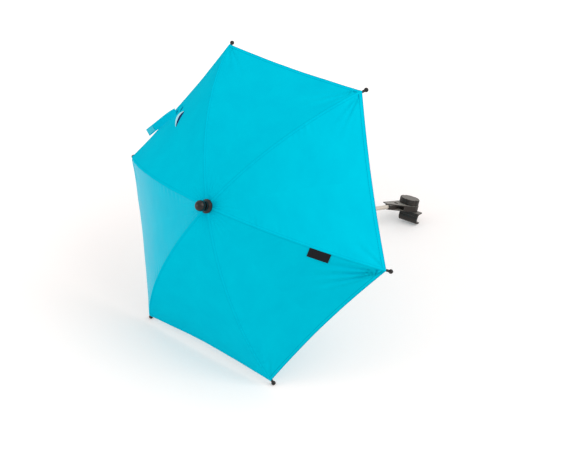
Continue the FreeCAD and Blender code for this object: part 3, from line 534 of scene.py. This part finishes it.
def addHalfPanel(rib, side):
    panel = panelOf(rib, side)
    rows, columns, hemRows = canopy["rows"], canopy["columns"], canopy["hemRows"]
    plainRows = rows - len(hemRows)
    points, flat = [], []
    values = {"alongCloth": [], "acrossCloth": [], "fromHem": [], "alongHem": []}

    def rowArc(row, hem):
        if row < plainRows:
            return holeArc + (hem - hemRows[0] - holeArc) * row / plainRows
        return hem - hemRows[row - plainRows]

    def addPoint(share, arc, hem, under=0.0):
        base = clothPoint(side, share, arc)
        across = abs(base.y)
        rise = clothRelief(rib, side, share, arc, across, hem - arc) - under
        flat.append(base)
        points.append(base + outOfDome(base) * rise)
        values["alongCloth"].append(arc)
        values["acrossCloth"].append(base.y)
        values["fromHem"].append(hem - arc)
        values["alongHem"].append(across / math.cos(halfStep))

    for i in range(rows):
        for j in range(columns):
            share = j / (columns - 1)
            hem = hemArc(panel, share)
            addPoint(share, rowArc(i, hem), hem)
    faces = gridFaces(rows, columns, side < 0)

    # the tuck goes on from the crease
    hem = hemArc(panel, 1)
    last = None
    for i in range(plainRows):
        arc = rowArc(i, hem)
        if arc > tuckUnder["end"]:
            break
        half = panelHalfAt(arc)
        line = [i * columns + columns - 1]
        for c in range(1, tuckUnder["columns"] + 1):
            beyond = tuckWidth(arc, half) * c / tuckUnder["columns"]
            line.append(len(points))
            addPoint(1 + beyond / half, arc, hem, tuckUnder["depth"] * smooth(beyond / tuckUnder["dip"]))
        if last:
            for a, b, d, e in zip(last, last[1:], line[1:], line):
                faces.append((e, d, b, a) if side < 0 else (a, b, d, e))
        last = line

    name = f"canopy_cloth_{rib}_{'right' if side > 0 else 'left'}"
    cloth = glazedTaffeta if panel == canopy["glazedPanel"] else canopyTaffeta
    piece = addPiece(name, points, faces, cloth, ribFrames[rib])
    for layer, numbers in values.items():
        storeValues(piece, layer, numbers)
    thicken(piece, canopy["thickness"])
    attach(piece, f"rib_{rib}")
    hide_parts(f"canopy_panel_{rib}")
    foldWith(piece)


for ribNumber in ribFrames:
    for halfSide in (-1, 1):
        addHalfPanel(ribNumber, halfSide)
print("canopy sewn: 12 half panels")

# Seams: the two panels' edges folded together in a narrow raised fell over each rib
seam = {
    "half": 2.2,
    "rise": 1.0,
    "floor": 0.05,          # its edges stand this far off the cloth
    "start": 13.0,
    "wander": 0.25,         # of the sewing from a straight line
    "wanderSize": 30.0,
    "thickness": 0.35,
    "rows": 90,
    "columns": 9,
}


def addSeam(rib):
    rows, columns = seam["rows"], seam["columns"]
    ribStep, level = noiseSteps["seam"]
    points, along, beside = [], [], []
    for i in range(rows):
        arc = seam["start"] + (cornerArc - seam["start"]) * i / (rows - 1)
        wander = seam["wander"] * noise.noise(Vector((arc / seam["wanderSize"], ribStep * rib, level)))
        for j in range(columns):
            offset = seam["half"] * (2 * j / (columns - 1) - 1)
            over = max(0.0, abs(offset) - canopy["seamHalf"])
            share = over / math.cos(halfStep) / panelHalfAt(arc)
            lift = seam["floor"] + seam["rise"] * math.sqrt(max(0.0, 1 - (offset / seam["half"]) ** 2))
            point = clothPoint(1 if offset > 0 else -1, share, arc, lift)
            point.y = offset + wander
            points.append(point)
            along.append(arc)
            beside.append(offset)
    piece = addPiece(f"seam_fell_{rib}", points, gridFaces(rows, columns), seamTaffeta, ribFrames[rib])
    storeValues(piece, "alongCloth", along)
    storeValues(piece, "acrossCloth", beside)
    thicken(piece, seam["thickness"])
    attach(piece, f"rib_{rib}")


for ribNumber in ribFrames:
    addSeam(ribNumber)
print("seams felled")

# Closing strap: a folded taffeta band sewn on near the hem, standing on its edge as far as its free end.
# A route goes along the rib, across from it, up off the cloth and round on edge in degrees.
strap = {
    "rib": 5,
    "side": -1,
    "width": 15.5,
    "thickness": 0.9,
    "lift": 0.9,
    "route": [      # free end to sewn end
        (400.0, 60.0, 8.4, 52),
        (385.0, 75.0, 7.8, 56),
        (369.0, 91.0, 7.2, 58),
        (352.0, 108.0, 7.0, 58),
        (338.0, 121.0, 6.6, 54),
        (328.0, 131.0, 5.0, 38),
    ],
}
# the end of it that lies flat and is sewn down
strapRoot = {
    "width": 12.0,
    "thickness": 0.9,
    "lift": 0.9,
    "crown": 0.5,
    "stations": 24,
    "route": [
        (318.0, 141.0, 0.6, 0),
        (337.0, 139.5, 0.9, 0),
        (354.0, 137.0, 0.7, 0),
    ],
}
# what a band has where its own dictionary doesn't say: start and end are shares of its route, crown is
# the height of its middle, and pointed draws it in towards its ends
plainBand = {
    "start": 0.0,
    "end": 1.0,
    "lift": 0.0,
    "crown": 0.0,
    "pointed": 0.0,
    "columns": 9,
    "stations": 60,
}


def alongRoute(route, share):
    # a smooth line through listed stations
    spot = share * (len(route) - 1)
    i = min(int(spot), len(route) - 2)
    t = spot - i
    before = route[max(0, i - 1)]
    after = route[min(len(route) - 1, i + 2)]
    mixed = []
    for p0, p1, p2, p3 in zip(before, route[i], route[i + 1], after):
        m1, m2 = (p2 - p0) / 2, (p3 - p1) / 2
        mixed.append(p1 * (2 * t ** 3 - 3 * t ** 2 + 1) + m1 * (t ** 3 - 2 * t ** 2 + t)
                     + p2 * (3 * t ** 2 - 2 * t ** 3) + m2 * (t ** 3 - t ** 2))
    return mixed


def bandPoints(band):
    nearby = 0.01       # share of the route to look ahead and back for its direction
    side, route = strap["side"], band["route"]
    points = []
    for i in range(band["stations"]):
        way = i / (band["stations"] - 1)
        share = band["start"] + (band["end"] - band["start"]) * way
        half = band["width"] / 2 * (1 - band["pointed"] * (1 - math.sin(math.pi * way)))
        arc, across, rise, roll = alongRoute(route, share)
        middle = onCloth(side, arc, across, rise)
        ahead = alongRoute(route, min(1.0, share + nearby))
        behind = alongRoute(route, max(0.0, share - nearby))
        forward = (onCloth(side, *ahead[:3]) - onCloth(side, *behind[:3])).normalized()
        beside = outOfDome(middle).cross(forward).normalized()
        normal = forward.cross(beside)
        turn = math.radians(roll)
        tilted = beside * math.cos(turn) + normal * math.sin(turn)
        face = normal * math.cos(turn) - beside * math.sin(turn)
        for j in range(band["columns"]):
            offset = 2 * j / (band["columns"] - 1) - 1
            out = band["lift"] + band["crown"] * (1 - offset ** 2)
            points.append(middle + tilted * offset * half + face * out)
    return points


def addBand(name, design, material):
    band = {**plainBand, **design}
    stations, columns = band["stations"], band["columns"]
    points = bandPoints(band)
    piece = addPiece(name, points, gridFaces(stations, columns), material, ribFrames[strap["rib"]])
    lengths = [0.0]
    for i in range(1, stations):
        lengths.append(lengths[-1] + (points[i * columns] - points[(i - 1) * columns]).length)
    across = [band["width"] * j / (columns - 1) for j in range(columns)]
    storeValues(piece, "alongCloth", [length for length in lengths for _ in range(columns)])
    storeValues(piece, "acrossCloth", across * stations)
    thicken(piece, band["thickness"])
    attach(piece, f"rib_{strap['rib']}")
    foldWith(piece)
    return piece, lengths[-1]


def addStrap():
    band, length = addBand("strap_band", strap, seamTaffeta)
    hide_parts("closing_strap")
    root, _ = addBand("strap_root", strapRoot, seamTaffeta)
    print("strap sewn on:", round(length), "mm long")


addStrap()

# Hook tape on the strap's free end: a stiff pad, paler than the cloth
hookTape = {
    "route": strap["route"],
    "start": 0.02,
    "end": 0.225,
    "width": 11.0,
    "thickness": 0.9,
    "lift": 1.8,            # on top of the strap
    "crown": 0.2,
    "stations": 16,
    "pitch": 1.9,
    "hooks": "#34DCEB",
    "ground": "#0BB9D6",
}


def knittedHookTape():
    # nylon hook tape, knitted: dull, with a speckle of hooks about 1.2 mm apart, drawn 1.9 mm apart to show
    material, tree, shader = newMaterial("nylon_hook_tape_knitted", {
        "Roughness": 0.7, "Specular IOR Level": 0.3, "Sheen Weight": 0.2, "Sheen Roughness": 0.4})
    place = addNode(tree, "ShaderNodeTexCoord")
    hooks = addNode(tree, "ShaderNodeTexVoronoi", {"Scale": 1 / (hookTape["pitch"] * millimetre)},
                    {"Vector": place.outputs["Object"]})
    colour = addNode(tree, "ShaderNodeMix", {
        "data_type": "RGBA", 6: linear(hookTape["hooks"]), 7: linear(hookTape["ground"])},
        {0: hooks.outputs["Distance"]})
    tree.links.new(colour.outputs[2], shader.inputs["Base Color"])
    bump = addNode(tree, "ShaderNodeBump", {"Strength": 0.6, "Distance": 0.4 * millimetre},
                   {"Height": hooks.outputs["Distance"]})
    tree.links.new(bump.outputs["Normal"], shader.inputs["Normal"])
    return material


def addHookTape():
    pad, _ = addBand("strap_hook_tape", hookTape, knittedHookTape())
    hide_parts("strap_patch")


addHookTape()

# Tail of the strap: its back lies turned up off the cloth, its pale colour partly a painted highlight, with a
# painted shadow in navy along one edge
tail = {
    "route": [
        (268.0, 108.0, 1.0, 40),
        (278.0, 117.0, 3.2, 50),
        (285.0, 126.0, 4.4, 52),
        (290.0, 134.5, 3.8, 50),
        (293.0, 141.5, 1.4, 40),
    ],
    "width": 8.0,
    "thickness": 0.7,
    "pointed": 0.85,
    "columns": 13,
    "stations": 40,
    "ribPitch": 1.2,
    "between": "#A6E6F1",
    "ribs": "#D2F6FC",
    "edge": 4.0,
    "edgeShadowNavy": "#0A2A63",
}


def paleTailTape():
    # cotton-polyester tape, woven: soft white with a blue cast and faint cross ribs, the paleness partly a
    # painted highlight, and a navy band along one edge that is a painted shadow
    material, tree, shader = newMaterial("pale_tape_woven_painted_light", {
        "Roughness": 0.85, "Specular IOR Level": 0.2, "Sheen Weight": 0.2})
    along = addNode(tree, "ShaderNodeAttribute", {"attribute_name": "alongCloth"})
    spot = addNode(tree, "ShaderNodeCombineXYZ", links={0: along.outputs["Fac"]})
    ribs = addNode(tree, "ShaderNodeTexWave", {"Scale": bandScale(tail["ribPitch"]), "Distortion": 0.6},
                   {"Vector": spot.outputs[0]})
    colour = addNode(tree, "ShaderNodeMix", {
        "data_type": "RGBA", 6: linear(tail["between"]), 7: linear(tail["ribs"])}, {0: ribs.outputs["Fac"]})
    # painted shadow: a navy band along one edge of the tail, where it stands off the cloth
    across = addNode(tree, "ShaderNodeAttribute", {"attribute_name": "acrossCloth"})
    edge = addNode(tree, "ShaderNodeMath", {"operation": "LESS_THAN", 1: tail["edge"]},
                   {0: across.outputs["Fac"]})
    shadowEdged = addNode(tree, "ShaderNodeMix", {"data_type": "RGBA", 7: linear(tail["edgeShadowNavy"])},
                    {0: edge.outputs[0], 6: colour.outputs[2]})
    tree.links.new(shadowEdged.outputs[2], shader.inputs["Base Color"])
    bump = addNode(tree, "ShaderNodeBump", {"Strength": 0.4, "Distance": 0.2 * millimetre},
                   {"Height": ribs.outputs["Fac"]})
    tree.links.new(bump.outputs["Normal"], shader.inputs["Normal"])
    return material


def addTail():
    piece, _ = addBand("strap_tail", tail, paleTailTape())


addTail()
print("strap's hook tape and tail in place")

# Seam label: a bare black satin ribbon folded into the seam, its free edge a little off the cloth
label = {
    "rib": 2,
    "side": -1,
    "start": 229.0,
    "length": 42.0,
    "width": 20.0,
    "thickness": 0.5,
    "lift": 0.9,
    "curl": 1.2,            # of the free edge
    "nearCurl": 0.4,        # share of it at the end nearer the crown
    "wave": 0.35,
    "skew": 7.0,
    "rows": 30,
    "columns": 15,
    "ribPitch": 1.6,
    "between": "#07080B",
    "ribs": "#13161C",
}


def satinRibbon():
    # black polyester satin, woven with cross ribs: a soft dull gloss. The ribs are 0.4 mm apart; they are
    # drawn 1.6 mm apart so that they show
    material, tree, shader = newMaterial("black_polyester_satin_ribbon", {
        "Roughness": 0.6, "Specular IOR Level": 0.16, "Sheen Weight": 0.03, "Sheen Roughness": 0.3})
    along = addNode(tree, "ShaderNodeAttribute", {"attribute_name": "alongCloth"})
    across = addNode(tree, "ShaderNodeAttribute", {"attribute_name": "acrossCloth"})
    spot = addNode(tree, "ShaderNodeCombineXYZ", links={0: across.outputs["Fac"], 1: along.outputs["Fac"]})
    ribs = addNode(tree, "ShaderNodeTexWave", {"Scale": bandScale(label["ribPitch"]), "Distortion": 0.8},
                   {"Vector": spot.outputs[0]})
    colour = addNode(tree, "ShaderNodeMix", {
        "data_type": "RGBA", 6: linear(label["between"]), 7: linear(label["ribs"])}, {0: ribs.outputs["Fac"]})
    tree.links.new(colour.outputs[2], shader.inputs["Base Color"])
    bump = addNode(tree, "ShaderNodeBump", {"Strength": 0.4, "Distance": 0.2 * millimetre},
                   {"Height": ribs.outputs["Fac"]})
    tree.links.new(bump.outputs["Normal"], shader.inputs["Normal"])
    return material


def addLabel():
    rows, columns = label["rows"], label["columns"]
    points, along, across = [], [], []
    for i in range(rows):
        way = i / (rows - 1)
        arc = label["start"] + label["length"] * way
        for j in range(columns):
            out = j / (columns - 1)
            beside = canopy["seamHalf"] + (label["width"] - canopy["seamHalf"]) * out
            wave = label["wave"] * math.sin(math.pi * out) * math.sin(math.tau * way)
            lift = label["lift"] + label["curl"] * out ** 2 * (label["nearCurl"] + way) + wave
            points.append(onCloth(label["side"], arc + label["skew"] * out, beside, lift))
            along.append(arc)
            across.append(beside)
    faces = gridFaces(rows, columns, True)
    piece = addPiece("seam_label", points, faces, satinRibbon(), ribFrames[label["rib"]])
    storeValues(piece, "alongCloth", along)
    storeValues(piece, "acrossCloth", across)
    thicken(piece, label["thickness"])
    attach(piece, f"rib_{label['rib']}")
    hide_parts("seam_tag")
    foldWith(piece)


addLabel()
print("label sewn in")

# Hardware finishes, given to the CAD nodes where they are. Sizes of patterns are in millimetres.
glossy = {"dark": "#0E0B09", "pale": "#1C1714", "cloud": 9.0, "peel": 1.6}


def mouldedGloss():
    # ABS, moulded in a polished tool: near black with a brown cast, a clear highlight and a slight peel
    material, tree, shader = newMaterial("black_abs_moulded_gloss", {"IOR": 1.53, "Specular IOR Level": 0.3})
    place = addNode(tree, "ShaderNodeTexCoord")
    cloud = addNode(tree, "ShaderNodeTexNoise", {"Scale": 1 / (glossy["cloud"] * millimetre), "Detail": 4.0},
                    {"Vector": place.outputs["Object"]})
    colour = addNode(tree, "ShaderNodeMix", {
        "data_type": "RGBA", 6: linear(glossy["dark"]), 7: linear(glossy["pale"])}, {0: cloud.outputs["Fac"]})
    tree.links.new(colour.outputs[2], shader.inputs["Base Color"])
    dull = addNode(tree, "ShaderNodeMapRange", {"To Min": 0.2, "To Max": 0.38},
                   {"Value": cloud.outputs["Fac"]})
    tree.links.new(dull.outputs["Result"], shader.inputs["Roughness"])
    peel = addNode(tree, "ShaderNodeTexNoise", {"Scale": 1 / (glossy["peel"] * millimetre)},
                   {"Vector": place.outputs["Object"]})
    bump = addNode(tree, "ShaderNodeBump", {"Strength": 0.12, "Distance": 0.3 * millimetre},
                   {"Height": peel.outputs["Fac"]})
    tree.links.new(bump.outputs["Normal"], shader.inputs["Normal"])
    return material


satin = {
    "grain": 0.9,
    "cloud": 12.0,
    "edgeRadius": 1.1,
    "rubbed": (0.985, 0.80),    # rounded against true normal, where rubbing starts and where it is whole
    "rubMost": 0.75,
    "paintedTopLight": (0.75, 0.98),     # how squarely a face looks up, where the painted top light starts and where it is whole
}
clampUp = Vector(joints["arm_swivel"]["axis"])      # along the clamp's screw, upwards
if clampUp.z < 0:
    clampUp = -clampUp


def mouldedSatin(name, dark, pale, worn, topLightColour):
    # nylon or acetal, moulded in a spark-eroded tool: dark grey satin with a fine grain, paler where edges
    # rub, and faces that look up are painted paler as painted light from above. The grain is 0.1 mm across;
    # it is drawn 0.9 mm across so that it shows
    material, tree, shader = newMaterial(name, {"IOR": 1.53, "Specular IOR Level": 0.35})
    place = addNode(tree, "ShaderNodeTexCoord")
    grain = addNode(tree, "ShaderNodeTexNoise", {"Scale": 1 / (satin["grain"] * millimetre), "Detail": 3.0},
                    {"Vector": place.outputs["Object"]})
    cloud = addNode(tree, "ShaderNodeTexNoise", {"Scale": 1 / (satin["cloud"] * millimetre), "Detail": 3.0},
                    {"Vector": place.outputs["Object"]})
    colour = addNode(tree, "ShaderNodeMix", {"data_type": "RGBA", 6: linear(dark), 7: linear(pale)},
                     {0: cloud.outputs["Fac"]})
    soft = addNode(tree, "ShaderNodeBevel", {"samples": 6, "Radius": satin["edgeRadius"] * millimetre})
    plain = addNode(tree, "ShaderNodeNewGeometry")
    same = addNode(tree, "ShaderNodeVectorMath", {"operation": "DOT_PRODUCT"},
                   {0: soft.outputs["Normal"], 1: plain.outputs["Normal"]})
    edge = addNode(tree, "ShaderNodeMapRange", {
        "From Min": satin["rubbed"][0], "From Max": satin["rubbed"][1], "To Max": satin["rubMost"]},
        {"Value": same.outputs["Value"]})
    rubbed = addNode(tree, "ShaderNodeMix", {"data_type": "RGBA", 7: linear(worn)},
                     {0: edge.outputs["Result"], 6: colour.outputs[2]})
    facing = addNode(tree, "ShaderNodeVectorMath", {"operation": "DOT_PRODUCT", 1: clampUp},
                     {0: place.outputs["Normal"]})
    paintedTopLight = addNode(tree, "ShaderNodeMapRange", {
        "From Min": satin["paintedTopLight"][0], "From Max": satin["paintedTopLight"][1]}, {"Value": facing.outputs["Value"]})
    topLitColour = addNode(tree, "ShaderNodeMix", {"data_type": "RGBA", 7: linear(topLightColour)},
                       {0: paintedTopLight.outputs["Result"], 6: rubbed.outputs[2]})
    tree.links.new(topLitColour.outputs[2], shader.inputs["Base Color"])
    dull = addNode(tree, "ShaderNodeMapRange", {"To Min": 0.42, "To Max": 0.62},
                   {"Value": grain.outputs["Fac"]})
    tree.links.new(dull.outputs["Result"], shader.inputs["Roughness"])
    bump = addNode(tree, "ShaderNodeBump", {"Strength": 0.3, "Distance": 0.2 * millimetre},
                   {"Height": grain.outputs["Fac"]})
    tree.links.new(bump.outputs["Normal"], shader.inputs["Normal"])
    return material


metal = {"smoother": 0.08, "rougher": 0.1}      # how far the lines take the roughness either way


def metalFinish(name, dark, pale, roughness, across, along):
    # metal, drawn, plated or turned: a soft shine with faint lines along the stick, where across is their
    # spacing and along their length. Real ones are under 0.2 mm apart; they are drawn wider so that they show
    material, tree, shader = newMaterial(name, {"Metallic": 1.0, "Roughness": roughness})
    place = addNode(tree, "ShaderNodeTexCoord")
    turn = stickFrame.to_3x3().normalized().inverted().to_euler()
    lined = addNode(tree, "ShaderNodeMapping", {"Rotation": turn}, {"Vector": place.outputs["Object"]})
    scale = [1 / (size * millimetre) for size in (across, across, along)]
    squeezed = addNode(tree, "ShaderNodeMapping", {"Scale": scale}, {"Vector": lined.outputs["Vector"]})
    lines = addNode(tree, "ShaderNodeTexNoise", {"Scale": 1.0, "Detail": 3.0},
                    {"Vector": squeezed.outputs["Vector"]})
    colour = addNode(tree, "ShaderNodeMix", {"data_type": "RGBA", 6: linear(dark), 7: linear(pale)},
                     {0: lines.outputs["Fac"]})
    tree.links.new(colour.outputs[2], shader.inputs["Base Color"])
    dull = addNode(tree, "ShaderNodeMapRange", {
        "To Min": roughness - metal["smoother"], "To Max": roughness + metal["rougher"]},
        {"Value": lines.outputs["Fac"]})
    tree.links.new(dull.outputs["Result"], shader.inputs["Roughness"])
    bump = addNode(tree, "ShaderNodeBump", {"Strength": 0.1, "Distance": 0.1 * millimetre},
                   {"Height": lines.outputs["Fac"]})
    tree.links.new(bump.outputs["Normal"], shader.inputs["Normal"])
    return material


rubber = {"dark": "#141414", "pale": "#262626", "dust": 2.0}


def mouldedRubber():
    # nitrile rubber, moulded and dusty: black, dull and slightly mottled
    material, tree, shader = newMaterial("nitrile_rubber_moulded", {
        "Roughness": 0.9, "Specular IOR Level": 0.3})
    place = addNode(tree, "ShaderNodeTexCoord")
    dust = addNode(tree, "ShaderNodeTexNoise", {"Scale": 1 / (rubber["dust"] * millimetre), "Detail": 4.0},
                   {"Vector": place.outputs["Object"]})
    colour = addNode(tree, "ShaderNodeMix", {
        "data_type": "RGBA", 6: linear(rubber["dark"]), 7: linear(rubber["pale"])}, {0: dust.outputs["Fac"]})
    tree.links.new(colour.outputs[2], shader.inputs["Base Color"])
    bump = addNode(tree, "ShaderNodeBump", {"Strength": 0.3, "Distance": 0.2 * millimetre},
                   {"Height": dust.outputs["Fac"]})
    tree.links.new(bump.outputs["Normal"], shader.inputs["Normal"])
    return material


# the last colour given to each satin is its painted top light, for the faces that look up
clampNylon = ("#1B1511", "#2A211B", "#7A746C")      # dark, pale and worn
finishes = {
    "black_plastic": mouldedGloss(),
    "clamp_plastic": mouldedSatin("grey_nylon_moulded_satin", *clampNylon, "#65605A"),
    "button_plastic": mouldedSatin("grey_acetal_moulded_satin", "#3A3B3E", "#4A4C50", "#85878B", "#4A4C50"),
    "stick_aluminium": metalFinish("aluminium_tube_drawn_anodised", "#B9AFA3", "#E2DACE", 0.30, 0.6, 30),
    "plated_steel": metalFinish("steel_zinc_plated", "#8F9296", "#C4C7CA", 0.36, 1.2, 6),
    "blacked_steel": metalFinish("steel_rivet_blacked", "#060606", "#0D0D0D", 0.7, 1.2, 6),
    "insert_brass": metalFinish("brass_turned", "#A98344", "#D8B673", 0.32, 0.8, 0.8),
    "grip_rubber": mouldedRubber(),
}
topLitArm = mouldedSatin("grey_nylon_moulded_painted_top_light", *clampNylon, "#8A857E")    # a paler painted top light, for the arm's lit top
for part in frame["record"]["subparts"]:
    finish = topLitArm if part["node"] == "clamp_arm" else finishes.get(part["material_slot"])
    if finish:      # the cloth's nodes have none, because pieces above replace them
        slots = frame["nodes"][part["node"]].data.materials
        slots.clear()
        slots.append(finish)
print("hardware finished")
